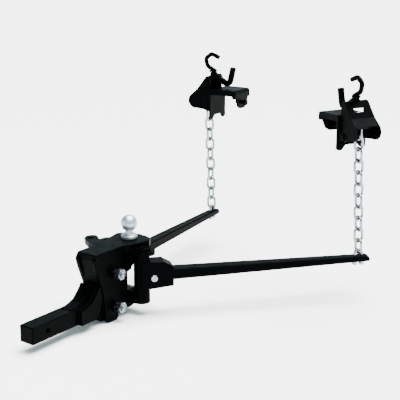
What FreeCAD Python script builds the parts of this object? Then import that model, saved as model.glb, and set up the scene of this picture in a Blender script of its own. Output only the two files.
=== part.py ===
"""Weight distribution hitch: adjustable shank, ball mount head, two spring bars, chains and frame brackets.

Millimetres. The origin is the centre of the hitch ball, +X points back towards the trailer and +Z up,
so the left hand side of the towing vehicle is -Y. Everything is drawn as it stands when coupled up.
"""
import FreeCAD
import Part
import math
import os

V = FreeCAD.Vector

# ---- shank and drop bar -------------------------------------------------
SHANK_W = 50.8            # 2 inch square solid bar, slides into a 2 inch receiver
SHANK_X0 = -446.5
SHANK_X1 = -204.0
SHANK_Z = -217.0
SHANK_CHAMFER = 3.0
PIN_HOLE_R = 8.2          # 5/8 inch hitch pin
PIN_HOLE_X = -386.5
DROP_X1 = -88.0
DROP_TOP = -66.9
DROP_BOTTOM = -262.0
DROP_HOLE_PITCH = 34.67
GUSSET_T = 18.5
GUSSET_X0 = -262.0
WEB_T = 30.0

# ---- ball mount head ----------------------------------------------------
PLATE_TOP = -47.4
PLATE_T = 19.0
CHEEK_IN = 25.7
CHEEK_OUT = 38.4
SPINE_X0 = -87.0
SPINE_X1 = -57.0
HEAD_BOLT_X = -113.0
HEAD_BOLT_Z = (-122.0, -226.0)
HEAD_BOLT_R = 9.5         # 3/4 inch bolts
HEAD_BOLT_END = 74.5
PIVOT_X = -25.0
PIVOT_Y = 68.0
PIVOT_R = 9.5
UPPER_LUG = (-66.4, -79.0)
UPPER_LUG_AT = (-20.0, 77.0)
UPPER_LUG_R = 31.0
LOWER_LUG = (-196.0, -230.0)
BOSS_R = 19.0
BOSS_T = 3.0
TAB_HOLE = (-68.0, 99.0)

# ---- ball ---------------------------------------------------------------
BALL_R = 25.4             # 2 inch ball
STUD_R = 15.8

# ---- sockets and spring bars -------------------------------------------
RUN_GAP = 0.5
SOCKET_BARREL_R = 24.5
SOCKET_Z = (-180.0, -101.0)
SOCKET_L = 94.0
SOCKET_HALF = 28.0
SOCKET_BOLT_S = 33.0
BAR_Z = -145.5
BAR_S0 = 20.0
BAR_L = 733.0
BAR_ROOT = (41.0, 35.0)   # width, height at the socket mouth
BAR_TIP = (30.0, 18.5)    # width, height at the far end
CHAIN_S = 699.0           # pivot to chain, along the bar
SIDES = {"left": (-1, -40.8), "right": (1, 7.8)}
UBOLT_R = 4.7
UBOLT_HALF = 11.5
UBOLT_BOW_Z = -118.0

# ---- chain --------------------------------------------------------------
LINKS = 12
RUN_LINKS = 3
LINK_WIRE = 4.1
LINK_STEP = 37.0
LINK_GAP = 0.35
LINK_HALF = 14.5
CHAIN_Z0 = -127.6
CHAIN_LEAN = {"left": (-18.0, 8.0), "right": (-22.0, -2.0)}

# ---- frame bracket and snap-up lever (u along the rail, v towards it, z up)
RAIL_ANGLE = {"left": -26.5, "right": 5.5}
BRACKET_DROP = {"left": 13.0, "right": 0.0}
PLATE_V = (32.0, 38.4)
PLATE_Z = (234.0, 328.0)
PLATE_U = 54.0
LEG_Z = 218.0
SADDLE_V1 = 137.0
SADDLE_EDGE = 19.0
LIP_T = 6.6
LIP_Z = 300.0
TONGUE_U = 36.0
TONGUE_Z = 263.0
CLAMP_Z = 284.0
CLAMP_R = 6.3
LEVER_V = 18.0
LEVER_Z = 262.0
LEVER_PIN_R = 6.3
KNUCKLE_U = (27.5, 35.0)
CHEEK_U = (38.0, 45.0)
NOSE_V = -31.0
NOSE_Z = 282.0
NOSE_R = 26.0
FINGER_Z = 314.6
FINGER_R = 5.6
HANDLE_R = 10.6
HOOK_R = 7.4


def box(x0, x1, y0, y1, z0, z1):
    """Axis-aligned block between two corners."""
    return Part.makeBox(x1 - x0, y1 - y0, z1 - z0, V(x0, y0, z0))


def cyl(radius, start, axis, length):
    """Cylinder from a start point along an axis."""
    return Part.makeCylinder(radius, length, V(*start), V(*axis))


def prism(points, y0, y1):
    """Outline in the X-Z plane, extruded along Y."""
    wire = Part.makePolygon([V(x, y0, z) for x, z in points + points[:1]])
    return Part.Face(wire).extrude(V(0, y1 - y0, 0))


def plate_xy(points, z0, z1):
    """Outline in the X-Y plane, extruded along Z."""
    wire = Part.makePolygon([V(x, y, z0) for x, y in points + points[:1]])
    return Part.Face(wire).extrude(V(0, 0, z1 - z0))


def side_plate(points, u0, u1):
    """Outline in the v-z plane, extruded along u."""
    wire = Part.makePolygon([V(u0, v, z) for v, z in points + points[:1]])
    return Part.Face(wire).extrude(V(u1 - u0, 0, 0))


def hexagon(flats, start, axis, length):
    """Hexagonal prism with slightly turned-down corners."""
    radius = flats / math.sqrt(3)
    ring = [V(radius * math.cos(math.radians(60 * k)), radius * math.sin(math.radians(60 * k)), 0)
            for k in range(7)]
    solid = Part.Face(Part.makePolygon(ring)).extrude(V(0, 0, length))
    drop = 0.12 * flats
    cone = Part.makeCone(radius + drop, radius - drop, 2 * drop, V(0, 0, length - 1.3 * drop))
    barrel = Part.makeCylinder(radius + drop, length - 1.3 * drop)
    solid = solid.common(barrel.fuse(cone))
    return point_along(solid, start, axis)


def point_along(shape, start, axis):
    """Stand a shape drawn up the Z axis on a start point, pointing along an axis."""
    placed = shape.copy()
    placed.Placement = FreeCAD.Placement(V(*start), FreeCAD.Rotation(V(0, 0, 1), V(*axis)))
    return placed


def bend_section(centre, start, axis, turn, radius):
    """Part of a ring: a round section at a start point swept about an axis through a centre."""
    tangent = axis.cross(start - centre)
    disc = Part.Face(Part.Wire([Part.makeCircle(radius, start, tangent)]))
    return disc.revolve(centre, axis, math.degrees(turn))


def straight_section(start, end, radius):
    """Plain round length between two points."""
    return Part.makeCylinder(radius, (end - start).Length, start, end - start)


def rod(points, bend, radius):
    """Round bar through a list of points, bent to one radius at every inner point."""
    pts = [V(*p) for p in points]
    pieces = []
    start = pts[0]
    for before, corner, after in zip(pts, pts[1:], pts[2:]):
        into = (corner - before).normalize()
        out = (after - corner).normalize()
        turn = into.getAngle(out)
        cut = bend * math.tan(turn / 2)
        enter = corner - into * cut
        centre = corner + (out - into).normalize() * (bend / math.cos(turn / 2))
        axis = into.cross(out).normalize()
        pieces.append(straight_section(start, enter, radius))
        pieces.append(bend_section(centre, enter, axis, turn, radius))
        start = corner + out * cut
    pieces.append(straight_section(start, pts[-1], radius))
    return pieces[0].fuse(pieces[1:])


def soften(shape, radius, picks):
    """Round the edges that a test picks out."""
    chosen = [e for e in shape.Edges if picks(e)]
    return shape.makeFillet(radius, chosen)


def upright(edge):
    """True for a straight vertical edge."""
    if len(edge.Vertexes) != 2:
        return False
    a, b = [v.Point for v in edge.Vertexes]
    return abs(a.x - b.x) + abs(a.y - b.y) < 0.01 and abs(a.z - b.z) > 1


# ---- shank ---------------------------------------------------------------
def shank_bar():
    """Solid square bar with a broken front end and a cross hole for the hitch pin."""
    h = SHANK_W / 2
    bar = box(SHANK_X0, SHANK_X1, -h, h, SHANK_Z - h, SHANK_Z + h)
    bar = soften(bar, 2.5, lambda e: abs(e.BoundBox.XLength) > 100)
    cap = box(SHANK_X0, SHANK_X0 + SHANK_CHAMFER, -h, h, SHANK_Z - h, SHANK_Z + h)
    front = [e for e in cap.Edges if e.BoundBox.XMax < SHANK_X0 + 0.5]
    bar = bar.cut(cap.cut(cap.makeChamfer(SHANK_CHAMFER - 0.4, front)))
    return bar.cut(cyl(PIN_HOLE_R, (PIN_HOLE_X, -40, SHANK_Z), (0, 1, 0), 80))


def drop_bar():
    """Upright bar welded across the shank, drilled with a ladder of height holes."""
    h = SHANK_W / 2
    bar = box(SHANK_X1, DROP_X1, -h, h, DROP_BOTTOM, DROP_TOP)
    outline = [(SHANK_X1 - 1, DROP_BOTTOM - 1), (-166, DROP_BOTTOM - 1), (-180, SHANK_Z - h),
               (SHANK_X1 - 1, SHANK_Z - h)]
    bar = bar.cut(prism(outline, -h - 1, h + 1))
    lean = [(SHANK_X1 - 1, DROP_TOP + 1), (-196, DROP_TOP + 1), (-176, -142), (-184, -160),
            (SHANK_X1 - 1, -168)]
    bar = bar.cut(prism(lean, -h - 1, h + 1))
    for step in range(5):
        z = HEAD_BOLT_Z[1] + step * DROP_HOLE_PITCH
        bar = bar.cut(cyl(HEAD_BOLT_R + 0.05, (HEAD_BOLT_X, -h - 1, z), (0, 1, 0), 2 * h + 2))
    return bar


def shank_gussets():
    """Two thick side plates over the joint of shank and drop bar, and the web in its front corner."""
    h = SHANK_W / 2
    low = SHANK_Z - h
    plate = [(GUSSET_X0, low), (-203, low), (-196, low + 10), (-180, low + 30), (-172, -190),
             (-177.5, -152), (-182, -147), (-196, -166), (-218, -188), (-240, -196), (GUSSET_X0, -202)]
    web = [(-204.2, -167), (-186, -158.4), (-178, -142), (-182, -139), (-194, -154), (-212, -172),
           (-238, -184), (-292, -191.4), (-204.2, -191.4)]
    parts = [prism(plate, h + 0.2, h + GUSSET_T), prism(plate, -h - GUSSET_T, -h - 0.2)]
    parts[0] = parts[0].cut(box(-400, -150, h + 12.9, 60, -260, -100))
    parts[1] = parts[1].cut(box(-400, -150, -60, -h - 12.9, -260, -100))
    parts.append(prism(web, -WEB_T / 2, WEB_T / 2))
    return parts


# ---- head ------------------------------------------------------------------
def head_platform():
    """Top of the casting: the ball platform, rounded behind, with a lower lug out to each side."""
    outline = [(-196, -34), (-190, -CHEEK_OUT), (-70, -CHEEK_OUT), (-46, -50), (-22, -57), (16, -66),
               (38, -52), (49, -26), (52, 0), (49, 26), (38, 52), (16, 66), (-22, 57), (-46, 50),
               (-70, CHEEK_OUT), (-190, CHEEK_OUT), (-196, 34)]
    top = plate_xy(outline, PLATE_TOP - PLATE_T, PLATE_TOP)
    lip = [e for e in top.Edges if e.BoundBox.ZMin > PLATE_TOP - 0.1]
    top = top.makeFillet(3.0, lip)
    x, y = UPPER_LUG_AT
    for side in (-1, 1):
        pad = [(x - 40, side * 36), (x - UPPER_LUG_R, side * y), (x + UPPER_LUG_R, side * y),
               (x + 46, side * 40)]
        top = top.fuse(plate_xy(pad, UPPER_LUG[1], UPPER_LUG[0]))
        lug_height = UPPER_LUG[0] - UPPER_LUG[1]
        top = top.fuse(cyl(UPPER_LUG_R, (x, side * y, UPPER_LUG[1]), (0, 0, 1), lug_height))
        step = cyl(UPPER_LUG_R - 6, (x, side * (y - 8), UPPER_LUG[0] - 1), (0, 0, 1), 7)
        top = top.fuse(step)
    return top


def head_lower_arm():
    """Bottom arm of the casting, carrying the two lower trunnion lugs."""
    arm = [(SPINE_X1 - 12, -192), (-20, -198), (8, -204), (8, -230), (-20, -243), (-48, -249),
           (SPINE_X1 - 12, -249)]
    body = prism(arm, -CHEEK_OUT, CHEEK_OUT)
    for side in (-1, 1):
        pad = [(PIVOT_X - 32, side * 30), (PIVOT_X - 24.5, side * PIVOT_Y),
               (PIVOT_X + 24.5, side * PIVOT_Y), (PIVOT_X + 32, side * 30)]
        foot = LOWER_LUG[1] - 3
        body = body.fuse(plate_xy(pad, foot, LOWER_LUG[0]))
        lug = cyl(24.5, (PIVOT_X, side * PIVOT_Y, foot), (0, 0, 1), LOWER_LUG[0] - foot)
        body = body.fuse(lug)
    return body


def head_cheek(side):
    """One cheek that clamps the drop bar: a forward lobe above, narrowing to a rounded foot."""
    outline = [(-188, -50), (-196, -55), (-201, -64), (-201, -72), (-196, -90), (-176, -142), (-166, -180),
               (-158, -225), (-157, -258), (-150, -268), (-140, -271), (-112, -271), (-102, -265),
               (-100, -250), (-100, -246), (SPINE_X1 - 2, -246), (SPINE_X1 - 2, -50)]
    inner = side * CHEEK_IN
    outer = side * CHEEK_OUT
    plate = prism(outline, min(inner, outer), max(inner, outer))
    rim = [e for e in plate.Edges if abs(e.CenterOfMass.y - outer) < 0.1 and e.CenterOfMass.x < -90]
    return plate.makeFillet(2.0, rim)


def bolt_boss(side, z):
    """Low raised ring on a cheek that the bolt hardware bears on."""
    ring = cyl(BOSS_R, (HEAD_BOLT_X, side * (CHEEK_OUT - 1), z), (0, side, 0), BOSS_T + 1)
    rim = [e for e in ring.Edges if abs(abs(e.CenterOfMass.y) - CHEEK_OUT - BOSS_T) < 0.1]
    return ring.makeFillet(1.4, rim)


def head_casting():
    """Ball mount head: platform, cheeks, spine and lower arm in one casting."""
    body = head_platform()
    body = body.fuse([head_cheek(-1), head_cheek(1), head_lower_arm()])
    body = body.fuse(box(SPINE_X0, SPINE_X1, -CHEEK_OUT, CHEEK_OUT, -246, PLATE_TOP - 8))
    rib = [(SPINE_X1 - 2, -135), (SPINE_X1 + 8, -129), (-34, -122), (-22, -112), (-18, -66),
           (SPINE_X1 - 2, -66)]
    for side in (-1, 1):
        y0, y1 = sorted((side * 27.0, side * CHEEK_OUT))
        body = body.fuse(prism(rib, y0, y1))
    for z in HEAD_BOLT_Z:
        for side in (-1, 1):
            body = body.fuse(bolt_boss(side, z))
        body = body.cut(cyl(HEAD_BOLT_R + 0.05, (HEAD_BOLT_X, -60, z), (0, 1, 0), 120))
    body = body.cut(cyl(STUD_R + 0.05, (0, 0, -120), (0, 0, 1), 120))
    for side in (-1, 1):
        body = body.cut(cyl(PIVOT_R + 0.05, (PIVOT_X, side * PIVOT_Y, -260), (0, 0, 1), 240))
    return body.removeSplitter()


def sway_tab():
    """Ear for a friction sway bar, standing out to the right, with its small ball hole."""
    z1 = PLATE_TOP - 1.5
    outline = [(-122, 30), (-104, 74), (-90, 98), (-76, 116), (-58, 124), (-42, 119), (-35, 106),
               (-42, 92), (-58, 72), (-60, 30)]
    tab = plate_xy(outline, UPPER_LUG[0] + 0.4, z1)
    tab = soften(tab, 5.0, lambda e: upright(e) and e.CenterOfMass.y > 80)
    tab = tab.cut(head_platform())
    return tab.cut(cyl(9.6, (*TAB_HOLE, z1 - 30), (0, 0, 1), 40))


def hitch_ball():
    """Two inch ball turned from one piece with its neck, collar and stud."""
    arc_end = V(12.6, 0, -math.sqrt(BALL_R ** 2 - 12.6 ** 2))
    flat = V(6.0, 0, math.sqrt(BALL_R ** 2 - 36.0))
    pts = [V(0, 0, flat.z), flat]
    edges = [Part.makeLine(pts[0], flat), Part.Arc(flat, V(BALL_R, 0, 0), arc_end).toShape()]
    waist = V(12.6, 0, -26.0)
    flare = V(23.0, 0, -36.2)
    edges.append(Part.makeLine(arc_end, waist))
    edges.append(Part.Arc(waist, V(14.6, 0, -31.6), flare).toShape())
    ring = [flare, V(25.0, 0, -38.2), V(25.0, 0, -46.2), V(24.0, 0, PLATE_TOP), V(STUD_R, 0, PLATE_TOP),
            V(STUD_R, 0, -109.0), V(STUD_R - 2, 0, -111.0), V(0, 0, -111.0), pts[0]]
    edges += [Part.makeLine(a, b) for a, b in zip(ring, ring[1:])]
    face = Part.Face(Part.Wire(edges))
    return face.revolve(V(0, 0, 0), V(0, 0, 1), 360)


def ball_washer():
    """Split lock washer under the platform."""
    z = PLATE_TOP - PLATE_T - 6.2
    ring = cyl(25.5, (0, 0, z), (0, 0, 1), 6.0).cut(cyl(STUD_R + 0.3, (0, 0, z - 1), (0, 0, 1), 9))
    return ring.cut(box(0, 40, -1.2, 1.2, z - 1, z + 8))


def ball_nut():
    """Heavy hexagon nut on the ball stud."""
    z = PLATE_TOP - PLATE_T - 6.4
    nut = hexagon(47.6, (0, 0, z), (0, 0, -1), 27.0)
    return nut.cut(cyl(STUD_R + 0.05, (0, 0, z - 40), (0, 0, 1), 60))


def head_bolts():
    """Two cross bolts, heads on the right, long threads out to the left."""
    solids = []
    face = CHEEK_OUT + BOSS_T
    for z in HEAD_BOLT_Z:
        shank = cyl(HEAD_BOLT_R, (HEAD_BOLT_X, -HEAD_BOLT_END, z), (0, 1, 0), HEAD_BOLT_END + face + 5)
        end = [e for e in shank.Edges if e.BoundBox.YMax < -HEAD_BOLT_END + 0.1]
        shank = shank.makeChamfer(1.6, end)
        head = hexagon(28.6, (HEAD_BOLT_X, face + 3.7, z), (0, 1, 0), 12.5)
        solids.append(shank.fuse(head))
    return solids


def head_washers():
    """Flat washers: one under each bolt head and a narrow one behind each nut."""
    solids = []
    face = CHEEK_OUT + BOSS_T
    for z in HEAD_BOLT_Z:
        for y0, r, t in ((face + 0.1, 17.5, 3.5), (-face - 11.2, 13.4, 2.6)):
            ring = cyl(r, (HEAD_BOLT_X, y0, z), (0, 1, 0), t)
            solids.append(ring.cut(cyl(HEAD_BOLT_R + 0.3, (HEAD_BOLT_X, y0 - 1, z), (0, 1, 0), 9)))
    return solids


def head_spacers():
    """Short sleeves that stand the nuts off the cheek."""
    solids = []
    for z in HEAD_BOLT_Z:
        y0 = -CHEEK_OUT - BOSS_T - 8.5
        tube = cyl(11.6, (HEAD_BOLT_X, y0, z), (0, 1, 0), 8.4)
        solids.append(tube.cut(cyl(HEAD_BOLT_R + 0.3, (HEAD_BOLT_X, y0 - 1, z), (0, 1, 0), 30)))
    return solids


def head_nuts():
    """Hexagon nuts on the head bolts."""
    solids = []
    for z in HEAD_BOLT_Z:
        y0 = -CHEEK_OUT - BOSS_T - 11.3
        nut = hexagon(30.0, (HEAD_BOLT_X, y0, z), (0, -1, 0), 14.0)
        solids.append(nut.cut(cyl(HEAD_BOLT_R + 0.05, (HEAD_BOLT_X, -90, z), (0, 1, 0), 60)))
    return solids


def trunnion_pins():
    """Low-headed pins through upper lug, socket barrel and lower lug."""
    solids = []
    for side in (-1, 1):
        at = (PIVOT_X, side * PIVOT_Y)
        foot = LOWER_LUG[1] - 8.0
        top = UPPER_LUG[0] + 6.2
        pin = cyl(PIVOT_R, (*at, foot), (0, 0, 1), top - foot)
        head = cyl(10.6, (*at, top), (0, 0, 1), 4.0)
        head = head.makeFillet(1.0, [e for e in head.Edges if e.BoundBox.ZMin > top + 3])
        groove = cyl(PIVOT_R + 3, (*at, foot + 1.5), (0, 0, 1), 2.2)
        groove = groove.cut(cyl(PIVOT_R - 1.2, (*at, foot), (0, 0, 1), 5))
        solids.append(pin.fuse(head).cut(groove))
    return solids


def trunnion_rings():
    """Spring rings in the grooves below the lower lugs."""
    solids = []
    for side in (-1, 1):
        at = (PIVOT_X, side * PIVOT_Y, LOWER_LUG[1] - 6.4)
        ring = cyl(13.0, at, (0, 0, 1), 2.0).cut(cyl(PIVOT_R - 1.1, at, (0, 0, 1), 2.0))
        solids.append(ring.cut(box(PIVOT_X, PIVOT_X + 20, at[1] - 3, at[1] + 3, at[2] - 1, at[2] + 3)))
    return solids


# ---- swinging arm: socket, bar, U-bolt ------------------------------------------
def arm_placement(name):
    """Local x runs along the spring bar from the trunnion pin."""
    side, angle = SIDES[name]
    return FreeCAD.Placement(V(PIVOT_X, side * PIVOT_Y, 0), FreeCAD.Rotation(V(0, 0, 1), angle))


def socket():
    """Barrel round the trunnion pin and the box that takes the butt of the bar."""
    z0, z1 = SOCKET_Z
    block = [(-6, z0 - 7), (22, z0 - 6), (SOCKET_L, z0), (SOCKET_L, z1 - 18), (64, z1), (-6, z1)]
    body = prism(block, -SOCKET_HALF, SOCKET_HALF)
    long_edges = [e for e in body.Edges if e.BoundBox.YLength < 0.1]
    body = body.makeFillet(3.0, long_edges)
    barrel_z0 = LOWER_LUG[0] + RUN_GAP
    barrel_z1 = UPPER_LUG[1] - RUN_GAP
    barrel = cyl(SOCKET_BARREL_R, (0, 0, barrel_z0), (0, 0, 1), barrel_z1 - barrel_z0)
    body = body.fuse(barrel)
    body = body.cut(cyl(PIVOT_R + 0.06, (0, 0, barrel_z0 - 5), (0, 0, 1), barrel_z1 - barrel_z0 + 10))
    mouth = bar_solid(0.15)
    return body.cut(mouth).cut(socket_bolt_core(SOCKET_HALF + 2, 0.05)).removeSplitter()


def bar_section(s, grow):
    """Rectangle of the bar at one station, its corners at the four given signs."""
    t = (s - SOCKET_L) / (BAR_L - SOCKET_L)
    t = max(t, 0.0)
    w = (BAR_ROOT[0] + (BAR_TIP[0] - BAR_ROOT[0]) * t) / 2 + grow
    h = (BAR_ROOT[1] + (BAR_TIP[1] - BAR_ROOT[1]) * t) / 2 + grow
    c = 3.0
    ring = [(w - c, -h), (w, -h + c), (w, h - c), (w - c, h), (-w + c, h), (-w, h - c), (-w, -h + c),
            (-w + c, -h), (w - c, -h)]
    return Part.makePolygon([V(s, y, BAR_Z + z) for y, z in ring])


def bar_solid(grow):
    """Square butt held in the socket, then a straight taper out to the tip."""
    butt = Part.makeLoft([bar_section(BAR_S0 - grow, grow), bar_section(SOCKET_L, grow)], True, True)
    taper = Part.makeLoft([bar_section(SOCKET_L, grow), bar_section(BAR_L, grow)], True, True)
    return butt.fuse(taper)


def spring_bar():
    """Tapered spring steel bar with a nose chamfer and two U-bolt holes."""
    bar = bar_solid(0.0)
    w = BAR_TIP[0]
    nose = [(BAR_L - 9, BAR_Z + 14), (BAR_L + 1, BAR_Z + 14), (BAR_L + 1, BAR_Z + 1)]
    bar = bar.cut(prism(nose, -w, w))
    for offset in (-UBOLT_HALF, UBOLT_HALF):
        bar = bar.cut(cyl(UBOLT_R + 0.05, (CHAIN_S + offset, 0, BAR_Z - 40), (0, 0, 1), 80))
    return bar.cut(socket_bolt_core(SOCKET_HALF + 2, 0.05)).removeSplitter()


def socket_bolt_core(half, grow):
    """Cross bolt body through socket and bar, below the bar's middle."""
    return cyl(8.0 + grow, (SOCKET_BOLT_S, -half, BAR_Z - 5), (0, 1, 0), 2 * half)


def socket_bolt():
    """Bright round-headed cross bolt that keeps the bar in its socket, with its nut."""
    x = SOCKET_BOLT_S
    z = BAR_Z - 5
    core = cyl(8.0, (x, -SOCKET_HALF - 1, z), (0, 1, 0), 2 * SOCKET_HALF + 14)
    head = cyl(10.5, (x, -SOCKET_HALF - 7, z), (0, 1, 0), 6.8)
    head = head.makeFillet(2.4, [e for e in head.Edges if e.BoundBox.YMax < -SOCKET_HALF - 6])
    return core.fuse(head)


def socket_nut():
    """Hexagon nut on the inner end of the socket bolt."""
    x = SOCKET_BOLT_S
    nut = hexagon(24.0, (x, SOCKET_HALF + 0.2, BAR_Z - 5), (0, 1, 0), 10.0)
    return nut.cut(cyl(8.05, (x, 0, BAR_Z - 5), (0, 1, 0), 60))


def u_bolt():
    """Bent round rod standing through the bar, its bow above and its threads below."""
    low = BAR_Z - 22.5
    pts = [(CHAIN_S - UBOLT_HALF, 0, low), (CHAIN_S - UBOLT_HALF, 0, UBOLT_BOW_Z),
           (CHAIN_S + UBOLT_HALF, 0, UBOLT_BOW_Z), (CHAIN_S + UBOLT_HALF, 0, low)]
    return rod(pts, 10.5, UBOLT_R)


def u_bolt_nuts():
    """One nut on each U-bolt leg, under the bar."""
    solids = []
    for offset in (-UBOLT_HALF, UBOLT_HALF):
        x = CHAIN_S + offset
        z = BAR_Z - BAR_TIP[1] / 2 - 1.0
        nut = hexagon(16.0, (x, 0, z), (0, 0, -1), 9.0)
        solids.append(nut.cut(cyl(UBOLT_R + 0.05, (x, 0, z - 30), (0, 0, 1), 60)))
    return solids


# ---- chain --------------------------------------------------------------------------
def chain_foot(name):
    """Where the chain crosses its spring bar, in plan."""
    return arm_placement(name).multVec(V(CHAIN_S, 0, 0))


def chain_frame(name):
    """Placement whose z runs up the leaning chain and whose x follows the trailer rail."""
    foot = chain_foot(name)
    lean = CHAIN_LEAN[name]
    up = V(lean[0], lean[1], 405.0).normalize()
    rail = bracket_turn(name).multVec(V(1, 0, 0))
    side = up.cross(rail).normalize()
    rail = side.cross(up).normalize()
    turn = FreeCAD.Rotation(rail, side, up, "ZXY")
    at = V(foot.x, foot.y, CHAIN_Z0)
    return FreeCAD.Placement(at, turn)


def link():
    """One link, standing on the centre of its bottom wire, flat in the local y-z plane."""
    height = LINK_STEP + LINK_GAP + 2 * LINK_WIRE
    r = LINK_HALF
    axis = V(1, 0, 0)
    legs = [straight_section(V(0, y, r), V(0, y, height - r), LINK_WIRE) for y in (-r, r)]
    top = bend_section(V(0, 0, height - r), V(0, r, height - r), axis, math.pi, LINK_WIRE)
    foot = bend_section(V(0, 0, r), V(0, -r, r), axis, math.pi, LINK_WIRE)
    return top.fuse([foot] + legs)


def chain_run(name, number):
    """A run of neighbouring links; odd links lie across the rail and even links along it."""
    frame = chain_frame(name)
    solids = []
    for k in range(number * RUN_LINKS, (number + 1) * RUN_LINKS):
        one = link()
        if k % 2:
            one.rotate(V(0, 0, 0), V(0, 0, 1), 90)
        one.translate(V(0, 0, k * LINK_STEP))
        one.Placement = frame.multiply(one.Placement)
        solids.append(one)
    return solids


# ---- frame bracket --------------------------------------------------------------------
def bracket_turn(name):
    """Rotation from the bracket's own u, v, z to the hitch's axes."""
    angle = RAIL_ANGLE[name] + (0 if name == "left" else 180)
    return FreeCAD.Rotation(V(0, 0, 1), angle)


def finger_height(name):
    """Height of the lever's finger in the bracket's own frame."""
    return FINGER_Z + BRACKET_DROP[name]


def bracket_placement(name):
    """Stand the bracket upright over the top of its chain."""
    top = chain_frame(name).multVec(V(0, 0, FINGER_Z - CHAIN_Z0))
    return FreeCAD.Placement(V(top.x, top.y, top.z - finger_height(name)), bracket_turn(name))


def bracket_body():
    """Saddle over the trailer rail: notched outer plate, flanged top, lip with a rounded tongue."""
    v0, v1 = PLATE_V
    z0, z1 = PLATE_Z
    w = PLATE_U
    face = [(-w, LEG_Z + 6), (-w + 6, LEG_Z), (-w + 18, LEG_Z), (-w + 32, z0), (w - 30, z0),
            (w - 18, LEG_Z + 4), (w - 5, LEG_Z + 4), (w, LEG_Z + 9), (w, z1 - 12), (-w, z1 - 12)]
    body = prism(face, v0, v1)
    bend = [(v0, z1 - 13), (v0 + 1.2, z1 - 6), (v0 + 5, z1 - 1.5), (v0 + 11, z1), (SADDLE_V1 - 11, z1),
            (SADDLE_V1 - 4, z1 - 1.6), (SADDLE_V1 - 1, z1 - 5), (SADDLE_V1, z1 - 12), (SADDLE_V1, LIP_Z),
            (SADDLE_V1 - LIP_T, LIP_Z), (SADDLE_V1 - LIP_T, z1 - 12), (SADDLE_V1 - 13, z1 - 6.6),
            (v1 + 5, z1 - 6.6), (v1, z1 - 12)]
    body = body.fuse(side_plate(bend, -w, w))
    rib = [(v0, z1 - 15), (v0 + 4, z1 - 4), (SADDLE_V1 - 6, z1 - 4), (SADDLE_V1, z1 - 15),
           (SADDLE_V1, LIP_Z), (SADDLE_V1 - 9, LIP_Z), (SADDLE_V1 - 15, z1 - SADDLE_EDGE),
           (v1 + 1, z1 - SADDLE_EDGE), (v0, z1 - SADDLE_EDGE)]
    body = body.fuse([side_plate(rib, -w, -w + 7), side_plate(rib, w - 7, w)])
    tongue = [(-TONGUE_U - 6, LIP_Z + 1), (-TONGUE_U, LIP_Z - 12), (-TONGUE_U + 8, TONGUE_Z + 8),
              (-14, TONGUE_Z), (14, TONGUE_Z), (TONGUE_U - 8, TONGUE_Z + 8),
              (TONGUE_U, LIP_Z - 12), (TONGUE_U + 6, LIP_Z + 1)]
    body = body.fuse(prism(tongue, SADDLE_V1 - LIP_T, SADDLE_V1))
    knuckle = [(v0 + 0.5, LEVER_Z + 22), (LEVER_V - 9, LEVER_Z + 8), (LEVER_V - 11, LEVER_Z),
               (LEVER_V - 8, LEVER_Z - 8), (v0 + 0.5, LEVER_Z - 22)]
    for sign in (-1, 1):
        u0, u1 = sorted((sign * KNUCKLE_U[0], sign * KNUCKLE_U[1]))
        body = body.fuse(side_plate(knuckle, u0, u1))
    body = body.cut(cyl(LEVER_PIN_R + 0.05, (-60, LEVER_V, LEVER_Z), (1, 0, 0), 120))
    body = body.cut(cyl(CLAMP_R + 0.05, (0, SADDLE_V1 - 30, CLAMP_Z), (0, 1, 0), 60))
    return body.removeSplitter()


def clamp_bolt():
    """Set bolt through the tongue, its cup point towards the rail."""
    core = cyl(CLAMP_R, (0, 112, CLAMP_Z), (0, 1, 0), 34)
    core = core.makeChamfer(1.5, [e for e in core.Edges if e.BoundBox.YMax < 112.1])
    return core.fuse(hexagon(19.0, (0, 145, CLAMP_Z), (0, 1, 0), 8.5))


def clamp_nut():
    """Nut against the rail side of the tongue, taking the set bolt's thread."""
    nut = hexagon(19.0, (0, SADDLE_V1 - LIP_T - 0.1, CLAMP_Z), (0, -1, 0), 9.0)
    return nut.cut(cyl(CLAMP_R + 0.05, (0, 90, CLAMP_Z), (0, 1, 0), 60))


def lever_pins():
    """Two short headed pivots, each through one lever cheek and one knuckle."""
    solids = []
    for sign in (-1, 1):
        foot = (sign * (KNUCKLE_U[0] - 4), LEVER_V, LEVER_Z)
        core = cyl(LEVER_PIN_R, foot, (sign, 0, 0), CHEEK_U[1] + 2 - KNUCKLE_U[0] + 4)
        core = core.fuse(cyl(10.5, (sign * (CHEEK_U[1] + 0.5), LEVER_V, LEVER_Z), (sign, 0, 0), 4.5))
        solids.append(core)
    return solids


def lever_cheek(sign):
    """One side of the lever: hub at the pivot, round nose outboard, high shoulder for the handle."""
    pts = [(10, 253), (26, 254), (29, 268), (28, 300), (30, 345), (31, 364), (26, 372), (15, 371),
           (-3, 348), (-22, 324), (-50, 300), (-40, 257.6)]
    u0, u1 = sorted((sign * CHEEK_U[0], sign * CHEEK_U[1]))
    plate = side_plate(pts, u0, u1)
    plate = plate.fuse(cyl(NOSE_R, (u0, NOSE_V, NOSE_Z), (1, 0, 0), u1 - u0))
    h0, h1 = sorted((sign * 35.5, sign * CHEEK_U[1]))
    return plate.fuse(cyl(11.0, (h0, LEVER_V, LEVER_Z), (1, 0, 0), h1 - h0))


def lever_frame():
    """Two cheeks and the sloping skin between them."""
    skin = [(31, 364), (26, 372), (15, 371), (-3, 348), (-22, 324), (-47, 302), (-42, 295), (-17, 317),
            (2, 341), (17, 361), (24, 360)]
    w = CHEEK_U[0] + 1
    return lever_cheek(1).fuse([lever_cheek(-1), side_plate(skin, -w, w)])


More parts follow.
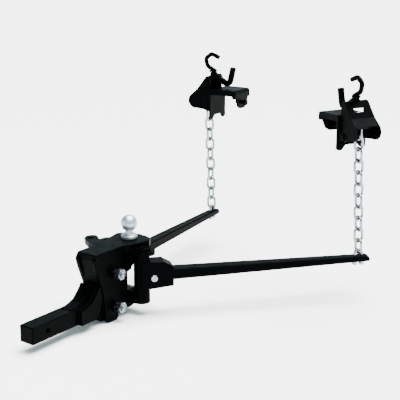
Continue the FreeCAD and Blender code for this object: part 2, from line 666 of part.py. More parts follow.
def lever(finger_z):
    """Snap-up lever: cheeks and skin, a pocket for the top link and the finger that carries it."""
    root = -24.0 + 0.8 * (finger_z - FINGER_Z)
    body = lever_frame().cut(box(-21, 21, -8.5, 60, finger_z - 30, finger_z + 24))
    body = body.fuse(cyl(FINGER_R, (0, root, finger_z), (0, 1, 0), 9 - root))
    body = body.fuse(Part.makeSphere(FINGER_R + 0.4, V(0, 9.5, finger_z + 0.2)))
    body = body.cut(cyl(LEVER_PIN_R + 0.06, (-80, LEVER_V, LEVER_Z), (1, 0, 0), 160))
    return body.removeSplitter()


def handle_stub():
    """Thick bent rod that a lift pipe slips over."""
    pts = [(0, 14, 380.5), (0, 84, 336.5), (0, 99, 401)]
    return rod(pts, 15.0, HANDLE_R).cut(lever_frame())


def top_hook():
    """Thin rod bent to an open hook above the lever."""
    pts = [(0, 30, 384), (0, -4, 402), (0, -12, 428), (0, 12, 446), (0, 42, 434)]
    return rod(pts, 13.0, HOOK_R).cut(handle_stub()).cut(lever_frame())


# ---- output --------------------------------------------------------------------------------
def write(name, solids):
    """Write one named piece, which may be several separate solids."""
    if not isinstance(solids, list):
        solids = [solids]
    flat = [s for shape in solids for s in shape.Solids]
    Part.makeCompound(flat).exportStep("parts/%s.step" % name)


def placed(shapes, placement):
    """Copies of local shapes moved to their side of the hitch."""
    if not isinstance(shapes, list):
        shapes = [shapes]
    moved = []
    for shape in shapes:
        copy = shape.copy()
        copy.Placement = placement.multiply(copy.Placement)
        moved.append(copy)
    return moved


def main():
    """Write every piece of the hitch."""
    os.makedirs("parts", exist_ok=True)
    fixed = {"shank_bar": shank_bar, "drop_bar": drop_bar, "shank_gussets": shank_gussets,
             "head_casting": head_casting, "sway_tab": sway_tab, "hitch_ball": hitch_ball,
             "ball_lock_washer": ball_washer, "ball_nut": ball_nut, "head_bolts": head_bolts,
             "head_washers": head_washers, "head_spacers": head_spacers, "head_nuts": head_nuts,
             "trunnion_pins": trunnion_pins, "trunnion_rings": trunnion_rings}
    for name, make in fixed.items():
        write(name, make())
    arm = {"socket": socket, "spring_bar": spring_bar, "socket_bolt": socket_bolt, "socket_nut": socket_nut,
           "u_bolt": u_bolt, "u_bolt_nuts": u_bolt_nuts}
    bracket = {"bracket": bracket_body, "clamp_bolt": clamp_bolt, "clamp_nut": clamp_nut,
               "lever_pins": lever_pins, "handle_stub": handle_stub, "top_hook": top_hook}
    for side in SIDES:
        for name, make in arm.items():
            write(side + "_" + name, placed(make(), arm_placement(side)))
        for name, make in bracket.items():
            write(side + "_" + name, placed(make(), bracket_placement(side)))
        write(side + "_lever", placed(lever(finger_height(side)), bracket_placement(side)))
        for number in range(LINKS // RUN_LINKS):
            write("%s_chain_run_%d" % (side, number + 1), chain_run(side, number))


main()
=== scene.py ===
"""Weight distribution hitch: finishes, threads, welds, chain seams and a plain studio.

Lengths of the detail are in millimetres in the part's own frame, and become metres in mesh_object.
"""

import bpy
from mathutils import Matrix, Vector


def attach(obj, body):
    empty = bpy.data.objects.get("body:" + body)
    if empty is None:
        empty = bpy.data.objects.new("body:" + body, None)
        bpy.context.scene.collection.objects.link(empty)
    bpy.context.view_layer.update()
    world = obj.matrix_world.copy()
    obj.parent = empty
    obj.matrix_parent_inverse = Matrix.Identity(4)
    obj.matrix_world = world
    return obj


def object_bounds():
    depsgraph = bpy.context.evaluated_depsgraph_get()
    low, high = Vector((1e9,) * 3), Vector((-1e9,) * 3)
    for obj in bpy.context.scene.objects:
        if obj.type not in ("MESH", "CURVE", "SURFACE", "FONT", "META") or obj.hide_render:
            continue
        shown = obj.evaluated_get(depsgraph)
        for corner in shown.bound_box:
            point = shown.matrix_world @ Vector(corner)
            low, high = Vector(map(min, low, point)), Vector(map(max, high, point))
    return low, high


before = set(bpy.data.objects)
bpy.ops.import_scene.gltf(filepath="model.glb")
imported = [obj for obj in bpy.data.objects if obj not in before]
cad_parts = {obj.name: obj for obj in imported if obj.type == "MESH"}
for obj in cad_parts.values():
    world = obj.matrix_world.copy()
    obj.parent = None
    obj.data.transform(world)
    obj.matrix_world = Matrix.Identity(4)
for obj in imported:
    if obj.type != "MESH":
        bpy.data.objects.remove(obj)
CAD_BOX = [list(corner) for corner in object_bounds()]

import math

import bpy
from mathutils import Matrix, Vector, noise

bl_info = {
    "name": "Weight Distribution Hitch",
    "version": (1, 0, 0),
    "blender": (4, 5, 0),
    "location": "View3D > Sidebar > Hitch",
    "description": "Finishes and fine detail for a weight distribution hitch",
    "category": "Object",
}

MM = 0.001
CAMERA_AT = (-2.1995, -1.8622, 0.8365)
CAMERA_TARGET = (0.36915, 0.0, -0.00748)
CAMERA_LENS = 88.23
SIDES = ("left", "right")
SIDE_SIGN = {"left": -1, "right": 1}
ARM_ANGLE = {"left": -40.8, "right": 7.8}
RAIL_ANGLE = {"left": -26.5, "right": 185.5}
CHAIN_LEAN = {"left": (-18.0, 8.0), "right": (-22.0, -2.0)}
BRACKET_DROP = {"left": 13.0, "right": 0.0}
PIVOT = (-25.0, 68.0)
CHAIN_S = 699.0
CHAIN_Z0 = -127.6
FINGER_Z = 314.6
LINK_STEP = 37.0
LINK_HEIGHT = 45.55
LINK_HALF = 14.5
LINK_WIRE = 4.1
LINK_COUNT = 12
RUN_LINKS = 3
SEAM_HALF = 4.2
SEAM_STEPS = 12

# Points round one ring of a thread, a weld bead and a chain seam, and rings to a pitch or ripple.
THREAD_POINTS = 40
THREAD_STEPS = 10
BEAD_POINTS = 12
BEAD_STEPS = 5
SEAM_POINTS = 28

# Bolt ends: start point, direction, thread radius and length.
HEAD_BOLT_ENDS = tuple(((-113, -66.0, z), (0, -1, 0), 9.5, 8.7) for z in (-122.0, -226.0))
BALL_STUD_END = ((0, 0, -100.0), (0, 0, -1), 15.6, 11.2)
BALL_STUD_PITCH = 2.4
U_BOLT_ENDS = tuple(((CHAIN_S + x, 0, -164.0), (0, 0, -1), 4.7, 4.2) for x in (-11.5, 11.5))
SOCKET_BOLT_END = ((33.0, 37.0, -150.5), (0, 1, 0), 8.0, 6.1)
CLAMP_BOLT_END = ((0, 121.0, 284), (0, -1, 0), 6.3, 9.2)

# Weld paths: gusset rims and web on the shank, knuckles on a bracket, rods on a lever.
GUSSET_FACE_Y = 25.8
GUSSET_RIM = ((-262, -202), (-240, -196), (-218, -188), (-196, -166), (-181, -147))
WEB_Y = 15.2
KNUCKLE_U = (27.3, 35.2)
HANDLE_WELD = ((9.8, 13, 371.5), (10.2, 21, 373.5), (9.4, 28, 371.5))
HOOK_WELD = ((7.6, 8, 384.0), (8.2, 18, 388.5), (7.4, 27, 383.5))

# Soft lamps: name, place, target, diameter, share of the key power and colour.
SOFTBOXES = (
    ("key", (-1.6, -1.2, 2.4), (0.2, 0, 0), 1.6, 1.0, (0.95, 0.99, 1.0)),
    ("top", (0.6, 0.8, 2.8), (0.3, 0, 0), 2.2, 0.7, (0.93, 0.99, 1.0)),
    ("fill", (-2.6, 1.4, 0.9), (0, 0, -0.1), 1.2, 0.25, (1.0, 1.0, 1.0)),
)
FLOOR_HALF = 20.0
FLOOR_GAP = 0.0005
SKY_LOW = (0.10, 0.11, 0.12, 1)
SKY_HIGH = (0.55, 0.58, 0.60, 1)
SKY_TINT = (0.80, 1.02, 1.06)
SKY_BANDS = ((0.05, 0.12), (0.18, 1.9), (0.34, 1.7), (0.52, 0.25))
BACKDROP_STRENGTH = 6.0


# ---- placements -------------------------------------------------------------------
def arm_matrix(side):
    """Millimetre frame of one spring bar, x along the bar from its pivot."""
    turn = Matrix.Rotation(math.radians(ARM_ANGLE[side]), 4, "Z")
    return Matrix.Translation((PIVOT[0], SIDE_SIGN[side] * PIVOT[1], 0)) @ turn


def rail_turn(side):
    """Rotation whose x axis follows the trailer rail."""
    return Matrix.Rotation(math.radians(RAIL_ANGLE[side]), 4, "Z")


def chain_matrix(side):
    """Millimetre frame at the foot of one chain, z up the chain and x along the rail."""
    foot = arm_matrix(side) @ Vector((CHAIN_S, 0, 0))
    foot.z = CHAIN_Z0
    up = Vector((*CHAIN_LEAN[side], 405.0)).normalized()
    across = up.cross(rail_turn(side) @ Vector((1, 0, 0))).normalized()
    along = across.cross(up).normalized()
    turn = Matrix((along, across, up)).transposed().to_4x4()
    return Matrix.Translation(foot) @ turn


def bracket_matrix(side):
    """Millimetre frame of one frame bracket: x along the rail, y towards it, z up."""
    top = chain_matrix(side) @ Vector((0, 0, FINGER_Z - CHAIN_Z0))
    top.z -= FINGER_Z + BRACKET_DROP[side]
    return Matrix.Translation(top) @ rail_turn(side)


# ---- mesh helpers -------------------------------------------------------------------
def mesh_object(name, verts, faces, matrix, body, material):
    """Smooth mesh from millimetre points in a local frame, riding on one body."""
    mesh = bpy.data.meshes.new(name)
    mesh.from_pydata([matrix @ Vector(v) * MM for v in verts], [], faces)
    mesh.update()
    for face in mesh.polygons:
        face.use_smooth = True
    mesh.materials.append(material)
    obj = bpy.data.objects.new(name, mesh)
    bpy.context.scene.collection.objects.link(obj)
    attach(obj, body)
    return obj


def add_rings(verts, faces, rings, close_start=True, close_end=True):
    """Skin a list of equal rings of points, with optional end caps."""
    base = len(verts)
    count = len(rings[0])
    for ring in rings:
        verts.extend(ring)
    for r in range(len(rings) - 1):
        for k in range(count):
            a = base + r * count + k
            b = base + r * count + (k + 1) % count
            faces.append((a, b, b + count, a + count))
    if close_start:
        faces.append(tuple(base + k for k in reversed(range(count))))
    if close_end:
        last = base + (len(rings) - 1) * count
        faces.append(tuple(last + k for k in range(count)))


def axis_frame(start, direction):
    """Frame with its z along a direction."""
    turn = Vector((0, 0, 1)).rotation_difference(Vector(direction)).to_matrix().to_4x4()
    return Matrix.Translation(Vector(start)) @ turn


def thread_rings(start, direction, radius, pitch, length):
    """Rings of a cut screw thread with a chamfered outer end."""
    place = axis_frame(start, direction)
    depth = 0.55 * pitch
    steps = max(8, int(length / pitch * THREAD_STEPS))
    rings = []
    for i in range(steps + 1):
        z = length * i / steps
        fade = min(1.0, (length - z) / pitch)
        ring = []
        for k in range(THREAD_POINTS):
            turn = k / THREAD_POINTS
            phase = (z / pitch - turn) % 1.0
            cut = depth * abs(2 * phase - 1)
            r = radius + 0.25 - cut * 0.8 - (1 - fade) * depth
            angle = 2 * math.pi * turn
            ring.append(place @ Vector((r * math.cos(angle), r * math.sin(angle), z)))
        rings.append(ring)
    return rings


def bead_rings(points, radius, ripple, seed):
    """Rings of a hand-laid weld bead along a polyline, rippled like overlapping puddles."""
    pts = [Vector(p) for p in points]
    rings = []
    travelled = 0.0
    step = ripple / BEAD_STEPS
    for a, b in zip(pts, pts[1:]):
        span = (b - a).length
        steps = max(2, int(span / step))
        frame_at = axis_frame(a, (b - a).normalized())
        for i in range(steps):
            z = span * i / steps
            phase = ((travelled + z) / ripple) % 1.0
            swell = 1.0 + 0.16 * math.sin(math.pi * phase) - 0.10 * phase
            wander = noise.noise(Vector(((travelled + z) * 0.09, seed, 0.0)))
            r = radius * (swell + 0.22 * wander)
            ring = []
            for k in range(BEAD_POINTS):
                angle = 2 * math.pi * k / BEAD_POINTS
                ring.append(frame_at @ Vector((r * math.cos(angle), r * math.sin(angle), z)))
            rings.append(ring)
        travelled += span
    tip = rings[-1]
    centre = sum((Vector(p) for p in tip), Vector()) / len(tip)
    rings.append([centre + (p - centre) * 0.35 + (pts[-1] - centre) * 0.8 for p in tip])
    return rings


# ---- materials -----------------------------------------------------------------------
class Tree:
    """Small wrapper that builds one node material."""

    def __init__(self, name):
        self.material = bpy.data.materials.new(name)
        self.material.use_nodes = True
        self.nodes = self.material.node_tree.nodes
        self.links = self.material.node_tree.links
        self.shader = self.nodes["Principled BSDF"]
        self.coords = self.nodes.new("ShaderNodeTexCoord")

    def link(self, a, b):
        """Join two sockets."""
        self.links.new(a, b)

    def noise(self, scale, detail=4.0, rough=0.55, stretch=(1, 1, 1)):
        """Noise in object space, optionally stretched."""
        mapping = self.nodes.new("ShaderNodeMapping")
        mapping.inputs["Scale"].default_value = stretch
        self.link(self.coords.outputs["Object"], mapping.inputs["Vector"])
        node = self.nodes.new("ShaderNodeTexNoise")
        node.inputs["Scale"].default_value = scale
        node.inputs["Detail"].default_value = detail
        node.inputs["Roughness"].default_value = rough
        self.link(mapping.outputs["Vector"], node.inputs["Vector"])
        return node.outputs["Fac"]

    def cells(self, scale):
        """Rounded cell pattern, as of a cast or sprayed skin."""
        node = self.nodes.new("ShaderNodeTexVoronoi")
        node.feature = "SMOOTH_F1"
        node.inputs["Scale"].default_value = scale
        self.link(self.coords.outputs["Object"], node.inputs["Vector"])
        return node.outputs["Distance"]

    def ramp(self, value, low, high, colour_low, colour_high):
        """Two colours across part of a value's range."""
        node = self.nodes.new("ShaderNodeValToRGB")
        node.color_ramp.elements[0].position = low
        node.color_ramp.elements[1].position = high
        node.color_ramp.elements[0].color = (*colour_low, 1)
        node.color_ramp.elements[1].color = (*colour_high, 1)
        self.link(value, node.inputs["Fac"])
        return node.outputs["Color"]

    def span(self, value, low, high, out_low, out_high):
        """Rescale a value."""
        node = self.nodes.new("ShaderNodeMapRange")
        ends = (("From Min", low), ("From Max", high), ("To Min", out_low), ("To Max", out_high))
        for key, number in ends:
            node.inputs[key].default_value = number
        self.link(value, node.inputs["Value"])
        return node.outputs["Result"]

    def blend(self, factor, first, second):
        """Mix two colours by a factor."""
        node = self.nodes.new("ShaderNodeMix")
        node.data_type = "RGBA"
        self.link(factor, node.inputs["Factor"])
        self.link(first, node.inputs["A"])
        self.link(second, node.inputs["B"])
        return node.outputs["Result"]

    def edges(self, radius):
        """Rounded normal and a mask that is high along worn edges."""
        bevel = self.nodes.new("ShaderNodeBevel")
        bevel.samples = 6
        bevel.inputs["Radius"].default_value = radius
        geometry = self.nodes.new("ShaderNodeNewGeometry")
        dot = self.nodes.new("ShaderNodeVectorMath")
        dot.operation = "DOT_PRODUCT"
        self.link(bevel.outputs["Normal"], dot.inputs[0])
        self.link(geometry.outputs["Normal"], dot.inputs[1])
        mask = self.span(dot.outputs["Value"], 0.999, 0.86, 0.0, 1.0)
        return bevel.outputs["Normal"], mask

    def bump(self, value, strength, distance, normal=None):
        """Bump from a height, stacked on another normal."""
        node = self.nodes.new("ShaderNodeBump")
        node.inputs["Strength"].default_value = strength
        node.inputs["Distance"].default_value = distance
        self.link(value, node.inputs["Height"])
        if normal is not None:
            self.link(normal, node.inputs["Normal"])
        return node.outputs["Normal"]


def coated(name, finish, grain, grain_size, edge):
    """Satin black powder coat: peel, faint mottling, dust film and thin rubbed edges."""
    t = Tree(name)
    dark = tuple(finish.coat_colour)
    lift = tuple(c * 2.0 + 0.0001 for c in dark)
    worn = tuple(finish.wear_colour)
    normal, mask = t.edges(edge)
    mottled = t.ramp(t.noise(38.0, 5.0), 0.35, 0.75, dark, lift)
    scuffs = t.noise(130.0, 6.0, 0.7)
    rub = t.nodes.new("ShaderNodeMath")
    rub.operation = "MULTIPLY"
    t.link(mask, rub.inputs[0])
    t.link(t.span(scuffs, 0.50, 0.72, 0.0, finish.edge_wear), rub.inputs[1])
    bare = t.ramp(t.noise(300.0), 0.3, 0.7, worn, tuple(c * 1.5 for c in worn))
    t.link(t.blend(rub.outputs["Value"], mottled, bare), t.shader.inputs["Base Color"])
    rough = finish.coat_roughness
    patches = t.span(t.noise(22.0, 5.0), 0.3, 0.75, rough - 0.06, rough + 0.10)
    t.link(patches, t.shader.inputs["Roughness"])
    t.shader.inputs["Specular IOR Level"].default_value = 0.010
    t.shader.inputs["Specular Tint"].default_value = (*finish.sheen_colour, 1)
    peel = t.bump(t.noise(1 / grain_size, 3.0, 0.5), grain, 0.0004, normal)
    t.link(t.bump(t.cells(0.25 / grain_size), grain * 0.6, 0.0006, peel), t.shader.inputs["Normal"])
    return t.material


def plated(name, colour, rough, streak, recess_shade_level, edge):
    """Bright plated steel: cloudy tone, soft scratches and painted shade that darkens the recesses
    and creases.
    """
    t = Tree(name)
    normal, mask = t.edges(edge)
    pale = tuple(colour)
    dull = tuple(c * 0.72 for c in pale)
    clouds = t.ramp(t.noise(55.0, 5.0), 0.30, 0.62, dull, pale)
    bright = t.ramp(t.noise(400.0), 0.2, 0.8, pale, tuple(min(1.0, c * 1.12) for c in pale))
    # Painted shade: ambient occlusion darkens the base colour in recesses and creases towards a
    # near-black noisy tone, by the given level.
    recess = t.nodes.new("ShaderNodeAmbientOcclusion")
    recess.samples = 8
    recess.inputs["Distance"].default_value = 0.012
    painted_shade = t.span(recess.outputs["AO"], 0.25, 0.85, recess_shade_level, 0.0)
    shade_dark_tone = tuple(c * 0.10 for c in pale)
    shade_tone = t.ramp(t.noise(220.0), 0.3, 0.7, shade_dark_tone, tuple(c * 0.22 for c in pale))
    t.link(t.blend(painted_shade, t.blend(mask, clouds, bright), shade_tone), t.shader.inputs["Base Color"])
    t.shader.inputs["Metallic"].default_value = 1.0
    haze = t.span(t.noise(90.0, 6.0, 0.65), 0.3, 0.72, rough, rough + 0.16)
    t.link(haze, t.shader.inputs["Roughness"])
    fine = t.bump(t.noise(900.0, 2.0, 0.5, (1, 1, streak)), 0.10, 0.0002, normal)
    t.link(t.bump(t.noise(160.0, 3.0), 0.06, 0.0004, fine), t.shader.inputs["Normal"])
    return t.material


def studio_floor(colour):
    """Matt pale sweep with barely visible cloudiness."""
    t = Tree("studio_floor")
    pale = tuple(colour)
    cloud = tuple(c * 0.985 for c in pale)
    t.link(t.ramp(t.noise(1.2), 0.3, 0.7, cloud, pale), t.shader.inputs["Base Color"])
    t.link(t.span(t.noise(8.0), 0.3, 0.7, 0.78, 0.9), t.shader.inputs["Roughness"])
    t.shader.inputs["Specular IOR Level"].default_value = 0.1
    return t.material


def studio_world():
    """Soft light bands above the horizon for reflections, in front of a plain bright backdrop."""
    world = bpy.data.worlds.new("studio_world")
    world.use_nodes = True
    tree = world.node_tree
    sky = tree.nodes["Background"]
    place = tree.nodes.new("ShaderNodeTexCoord")
    split = tree.nodes.new("ShaderNodeSeparateXYZ")
    bands = tree.nodes.new("ShaderNodeValToRGB")
    tree.links.new(place.outputs["Generated"], split.inputs["Vector"])
    tree.links.new(split.outputs["Z"], bands.inputs["Fac"])
    tree.links.new(bands.outputs["Color"], sky.inputs["Color"])
    bands.color_ramp.elements[0].position = 0.0
    bands.color_ramp.elements[0].color = SKY_LOW
    bands.color_ramp.elements[1].position = 1.0
    bands.color_ramp.elements[1].color = SKY_HIGH
    for at, tone in SKY_BANDS:
        stop = bands.color_ramp.elements.new(at)
        stop.color = (*(tone * tint for tint in SKY_TINT), 1)
    backdrop = tree.nodes.new("ShaderNodeBackground")
    backdrop.inputs["Strength"].default_value = BACKDROP_STRENGTH
    sight = tree.nodes.new("ShaderNodeLightPath")
    mix = tree.nodes.new("ShaderNodeMixShader")
    tree.links.new(sight.outputs["Is Camera Ray"], mix.inputs["Fac"])
    tree.links.new(sky.outputs["Background"], mix.inputs[1])
    tree.links.new(backdrop.outputs["Background"], mix.inputs[2])
    tree.links.new(mix.outputs["Shader"], tree.nodes["World Output"].inputs["Surface"])
    return world


def material(name):
    """A finish made by the finishes step."""
    found = bpy.data.materials.get(name)
    if found is None:
        raise RuntimeError("run the finishes step first: %s is missing" % name)
    return found


# ---- settings ---------------------------------------------------------------------------
class HitchFinish(bpy.types.PropertyGroup):
    """Colours and surface of the coats and platings."""
    coat_colour: bpy.props.FloatVectorProperty(
        name="Coat colour", description="Powder coat base colour", subtype="COLOR",
        default=(0.00015, 0.00024, 0.00027), min=0, max=1)
    coat_roughness: bpy.props.FloatProperty(
        name="Coat roughness", description="Satin level of the powder coat", subtype="FACTOR",
        default=0.36, min=0.1, max=1)
    sheen_colour: bpy.props.FloatVectorProperty(
        name="Coat sheen", description="Tint of the coat's reflection", subtype="COLOR",
        default=(0.80, 0.97, 1.0), min=0, max=1)
    wear_colour: bpy.props.FloatVectorProperty(
        name="Rubbed edge", description="Colour where the coat thins on an edge", subtype="COLOR",
        default=(0.0022, 0.0026, 0.0028), min=0, max=1)
    edge_wear: bpy.props.FloatProperty(
        name="Edge wear", description="How far the edges are rubbed", subtype="FACTOR",
        default=0.5, min=0, max=1)
    zinc_colour: bpy.props.FloatVectorProperty(
        name="Zinc colour", description="Bright plate on chain and fasteners", subtype="COLOR",
        default=(0.245, 0.275, 0.305), min=0, max=1)
    chrome_colour: bpy.props.FloatVectorProperty(
        name="Ball colour", description="Chrome plate on the ball", subtype="COLOR",
        default=(0.44, 0.475, 0.515), min=0, max=1)
    floor_colour: bpy.props.FloatVectorProperty(
        name="Floor colour", description="Studio floor", subtype="COLOR",
        default=(0.93, 0.93, 0.93), min=0, max=1)


class HitchDetail(bpy.types.PropertyGroup):
    """Sizes of the fine detail."""
    weld_radius: bpy.props.FloatProperty(
        name="Weld radius", description="Half width of the weld beads",
        subtype="DISTANCE", unit="LENGTH", default=0.0034, min=0.001, max=0.008)
    weld_ripple: bpy.props.FloatProperty(
        name="Weld ripple", description="Spacing of the puddle marks",
        subtype="DISTANCE", unit="LENGTH", default=0.0026, min=0.001, max=0.01)
    bolt_pitch: bpy.props.FloatProperty(
        name="Bolt pitch", description="Thread pitch of the head bolts",
        subtype="DISTANCE", unit="LENGTH", default=0.0021, min=0.0008, max=0.004)
    small_pitch: bpy.props.FloatProperty(
        name="U-bolt pitch", description="Thread pitch of the small bolts",
        subtype="DISTANCE", unit="LENGTH", default=0.0015, min=0.0006, max=0.003)
    overhead: bpy.props.FloatProperty(
        name="Overhead light", description="Strength of the broad light that whitens the floor",
        default=17.0, min=0, max=80)
    key_power: bpy.props.FloatProperty(
        name="Key light", description="Strength of the main soft light, in watts",
        default=40.0, min=0, max=500)


# ---- operators ----------------------------------------------------------------------------
# Grain of the coat, its size and the radius of the rounded edges, in metres.
COATS = {
    "coat_bar": (0.10, 0.0011, 0.0009),
    "coat_cast": (0.30, 0.0024, 0.0016),
    "coat_spring": (0.08, 0.0016, 0.0009),
    "coat_plate": (0.12, 0.0010, 0.0012),
    "coat_hardware": (0.05, 0.0008, 0.0005),
    "coat_weld": (0.12, 0.0008, 0.0002),
}


def on_sides(*parts):
    """Names of the same pieces on the left and on the right."""
    return tuple("%s_%s" % (side, part) for side in SIDES for part in parts)


COATED = {
    "coat_bar": ("shank_bar", "drop_bar", "shank_gussets", "sway_tab"),
    "coat_cast": ("head_casting", "left_socket", "right_socket"),
    "coat_spring": ("left_spring_bar", "right_spring_bar"),
    "coat_plate": on_sides("bracket", "lever", "handle_stub", "top_hook"),
    "coat_hardware": ("head_washers", "trunnion_pins", "trunnion_rings",
                      *on_sides("clamp_bolt", "clamp_nut", "lever_pins")),
}
PLATED = {
    "chrome_ball": ("hitch_ball",),
    "zinc_fastener": ("ball_lock_washer", "ball_nut", "head_bolts", "head_nuts", "head_spacers",
                      *on_sides("socket_bolt", "socket_nut", "u_bolt", "u_bolt_nuts")),
    "zinc_chain": on_sides("chain_run_1", "chain_run_2", "chain_run_3", "chain_run_4"),
}


class HITCH_OT_finishes(bpy.types.Operator):
    """Make every finish and put it on the frame's pieces"""
    bl_idname = "hitch.finishes"
    bl_label = "Finishes"

    def execute(self, context):
        finish = context.scene.hitch_finish
        for name, (grain, grain_size, edge) in COATS.items():
            coated(name, finish, grain, grain_size, edge)
        # The fifth number of each plated finish is the strength of its painted shade in recesses
        # and creases.
        plated("chrome_ball", finish.chrome_colour, 0.34, 1.0, 0.2, 0.0005)
        plated("zinc_fastener", finish.zinc_colour, 0.20, 4.0, 0.8, 0.0005)
        plated("zinc_chain", finish.zinc_colour, 0.16, 1.0, 0.9, 0.0003)
        for name, nodes in (*COATED.items(), *PLATED.items()):
            for node in nodes:
                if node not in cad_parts:
                    raise RuntimeError("the frame has no piece named %s" % node)
                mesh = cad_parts[node].data
                mesh.materials.clear()
                mesh.materials.append(material(name))
        return {"FINISHED"}


def threaded(name, ends, pitch, matrix, body, finish):
    """One piece with a cut thread on each of a list of bolt ends."""
    verts, faces = [], []
    for start, direction, radius, length in ends:
        add_rings(verts, faces, thread_rings(start, direction, radius, pitch, length))
    mesh_object(name, verts, faces, matrix, body, material(finish))


class HITCH_OT_threads(bpy.types.Operator):
    """Cut threads on the bolt ends"""
    bl_idname = "hitch.threads"
    bl_label = "Threads"

    def execute(self, context):
        detail = context.scene.hitch_detail
        big = detail.bolt_pitch / MM
        small = detail.small_pitch / MM
        threaded("head_bolt_threads", HEAD_BOLT_ENDS, big, Matrix(), "hitch_body",
                 "zinc_fastener")
        threaded("ball_stud_thread", (BALL_STUD_END,), BALL_STUD_PITCH, Matrix(), "hitch_body",
                 "zinc_fastener")
        for side in SIDES:
            arm = side + "_arm"
            threaded(side + "_bar_threads", (*U_BOLT_ENDS, SOCKET_BOLT_END), small,
                     arm_matrix(side), arm, "zinc_fastener")
            threaded(side + "_clamp_thread", (CLAMP_BOLT_END,), small,
                     bracket_matrix(side), arm, "coat_hardware")
        return {"FINISHED"}


def shank_beads(radius):
    """Weld paths on both flanks of the shank joint, each with its bead radius and seed."""
    for sign in (-1, 1):
        face = sign * GUSSET_FACE_Y
        yield [(x, face, z + 0.6) for x, z in GUSSET_RIM], radius, 1.0 + sign
        yield [(-290, sign * WEB_Y, -191.4), (-210, sign * WEB_Y, -191.4)], radius * 0.8, 4.0 + sign
        yield [(-262, face, -203), (-262, face, -241)], radius, 7.0 + sign


def knuckle_beads(radius):
    """Weld paths beside the lever knuckles of a bracket."""
    for sign in (-1, 1):
        for u in KNUCKLE_U:
            yield [(sign * u, 32.0, 243), (sign * u, 32.0, 281)], radius * 0.7, u * sign


def rod_beads(radius):
    """Weld paths where the two rods meet the lever."""
    for sign in (-1, 1):
        yield [(sign * x, y, z) for x, y, z in HANDLE_WELD], radius, 11.0 + sign
        yield [(sign * x, y, z) for x, y, z in HOOK_WELD], radius * 0.9, 15.0 + sign


def welded(name, beads, ripple, matrix, body):
    """One piece made of weld beads."""
    verts, faces = [], []
    for path, radius, seed in beads:
        add_rings(verts, faces, bead_rings(path, radius, ripple, seed))
    mesh_object(name, verts, faces, matrix, body, material("coat_weld"))


class HITCH_OT_welds(bpy.types.Operator):
    """Lay the weld beads on shank, brackets and levers"""
    bl_idname = "hitch.welds"
    bl_label = "Weld beads"

    def execute(self, context):
        detail = context.scene.hitch_detail
        radius = detail.weld_radius / MM
        ripple = detail.weld_ripple / MM
        welded("shank_welds", shank_beads(radius), ripple, Matrix(), "hitch_body")
        for side in SIDES:
            place = bracket_matrix(side)
            welded(side + "_bracket_welds", knuckle_beads(radius), ripple, place, side + "_arm")
            welded(side + "_lever_welds", rod_beads(radius), ripple, place, side + "_lever_body")
        return {"FINISHED"}


def seam_rings(middle):
    """Rings of the swelling that the closing weld leaves on one leg of a link."""
    rings = []
    for i in range(SEAM_STEPS + 1):
        t = 2.0 * i / SEAM_STEPS - 1.0
        crest = 0.42 * math.exp(-(t * 1.9) ** 2) + 0.10 * math.exp(-(t * 9) ** 2)
        swell = LINK_WIRE - 0.1 + crest
        ring = []
        for j in range(SEAM_POINTS):
            angle = 2 * math.pi * j / SEAM_POINTS
            offset = Vector((swell * math.cos(angle), swell * math.sin(angle), SEAM_HALF * t))
            ring.append(middle + offset)
        rings.append(ring)
    return rings


class HITCH_OT_chain_seams(bpy.types.Operator):
    """Add the weld swelling on one leg of every chain link"""
    bl_idname = "hitch.chain_seams"
    bl_label = "Chain seams"

    def execute(self, context):
        zinc = material("zinc_chain")
        for side in SIDES:
            for number in range(LINK_COUNT // RUN_LINKS):
                verts, faces = [], []
                for k in range(number * RUN_LINKS, (number + 1) * RUN_LINKS):
                    turn = Matrix.Rotation(math.radians(90 * (k % 2)), 4, "Z")
                    place = Matrix.Translation((0, 0, k * LINK_STEP)) @ turn
                    middle = place @ Vector((0, LINK_HALF, LINK_HEIGHT / 2))
                    add_rings(verts, faces, seam_rings(middle))
                name = "%s_chain_seams_%d" % (side, number + 1)
                body = "%s_chain_%d" % (side, number + 1)
                mesh_object(name, verts, faces, chain_matrix(side), body, zinc)
        return {"FINISHED"}


def add_stage(name, data):
    """Object that belongs to the studio and not to the part."""
    obj = bpy.data.objects.new(name, data)
    bpy.context.scene.collection.objects.link(obj)
    return obj


def aim(obj, target):
    """Turn a lamp or camera towards a point."""
    look = Vector(target) - obj.location
    obj.rotation_euler = look.to_track_quat("-Z", "Y").to_euler()


def add_floor(colour):
    """Wide matt floor just below the part."""
    z = CAD_BOX[0][2] - FLOOR_GAP
    corners = ((-1, -1), (1, -1), (1, 1), (-1, 1))
    mesh = bpy.data.meshes.new("studio_floor")
    mesh.from_pydata([(x * FLOOR_HALF, y * FLOOR_HALF, z) for x, y in corners], [], [(0, 1, 2, 3)])
    mesh.materials.append(studio_floor(colour))
    add_stage("studio_floor", mesh)


def add_overhead(strength):
    """Broad, even light from above that whitens the floor."""
    sun = bpy.data.lights.new("overhead", "SUN")
    sun.energy = strength
    sun.angle = math.radians(50)
    overhead = add_stage("overhead", sun)
    overhead.rotation_euler = (math.radians(8), math.radians(14), 0)


def add_softbox(name, at, target, size, watts, colour):
    """Round soft lamp pointed at a target."""
    lamp = bpy.data.lights.new(name, "AREA")
    lamp.shape = "DISK"
    lamp.size = size
    lamp.energy = watts
    lamp.color = colour
    obj = add_stage(name, lamp)
    obj.location = at
    aim(obj, target)


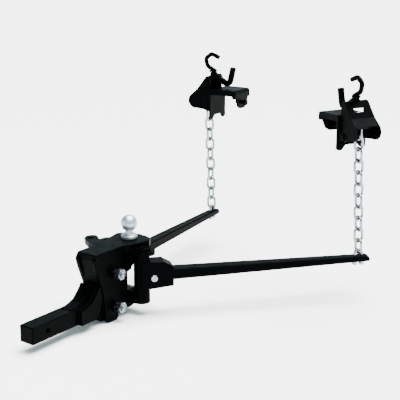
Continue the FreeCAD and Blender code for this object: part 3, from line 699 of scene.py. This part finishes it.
def add_camera(scene):
    """Camera in front of the hitch, to its left."""
    lens = bpy.data.cameras.new("camera")
    lens.lens = CAMERA_LENS
    lens.sensor_width = 36.0
    lens.clip_end = 100.0
    camera = bpy.data.objects.new("camera", lens)
    camera.location = CAMERA_AT
    aim(camera, CAMERA_TARGET)
    scene.collection.objects.link(camera)
    scene.camera = camera


class HITCH_OT_studio(bpy.types.Operator):
    """Set up floor, soft lights and camera"""
    bl_idname = "hitch.studio"
    bl_label = "Studio"

    def execute(self, context):
        scene = context.scene
        power = scene.hitch_detail.key_power
        add_floor(scene.hitch_finish.floor_colour)
        scene.world = studio_world()
        add_overhead(scene.hitch_detail.overhead)
        for name, at, target, size, share, colour in SOFTBOXES:
            add_softbox(name, at, target, size, power * share, colour)
        add_camera(scene)
        return {"FINISHED"}


STEPS = (HITCH_OT_finishes, HITCH_OT_threads, HITCH_OT_welds, HITCH_OT_chain_seams, HITCH_OT_studio)


class HITCH_PT_panel(bpy.types.Panel):
    """Hitch settings and steps"""
    bl_idname = "HITCH_PT_panel"
    bl_label = "Weight Distribution Hitch"
    bl_space_type = "VIEW_3D"
    bl_region_type = "UI"
    bl_category = "Hitch"

    def draw(self, context):
        for group in (context.scene.hitch_finish, context.scene.hitch_detail):
            for key in group.__annotations__:
                self.layout.prop(group, key)
        for step in STEPS:
            self.layout.operator(step.bl_idname)


CLASSES = (HitchFinish, HitchDetail) + STEPS + (HITCH_PT_panel,)


def register():
    """Add the classes and their settings."""
    for cls in CLASSES:
        bpy.utils.register_class(cls)
    bpy.types.Scene.hitch_finish = bpy.props.PointerProperty(type=HitchFinish)
    bpy.types.Scene.hitch_detail = bpy.props.PointerProperty(type=HitchDetail)


def unregister():
    """Remove them again."""
    del bpy.types.Scene.hitch_detail
    del bpy.types.Scene.hitch_finish
    for cls in reversed(CLASSES):
        bpy.utils.unregister_class(cls)


def main():
    """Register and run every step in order."""
    register()
    bpy.ops.hitch.finishes()
    bpy.ops.hitch.threads()
    bpy.ops.hitch.welds()
    bpy.ops.hitch.chain_seams()
    bpy.ops.hitch.studio()


if __name__ == "__main__":
    main()
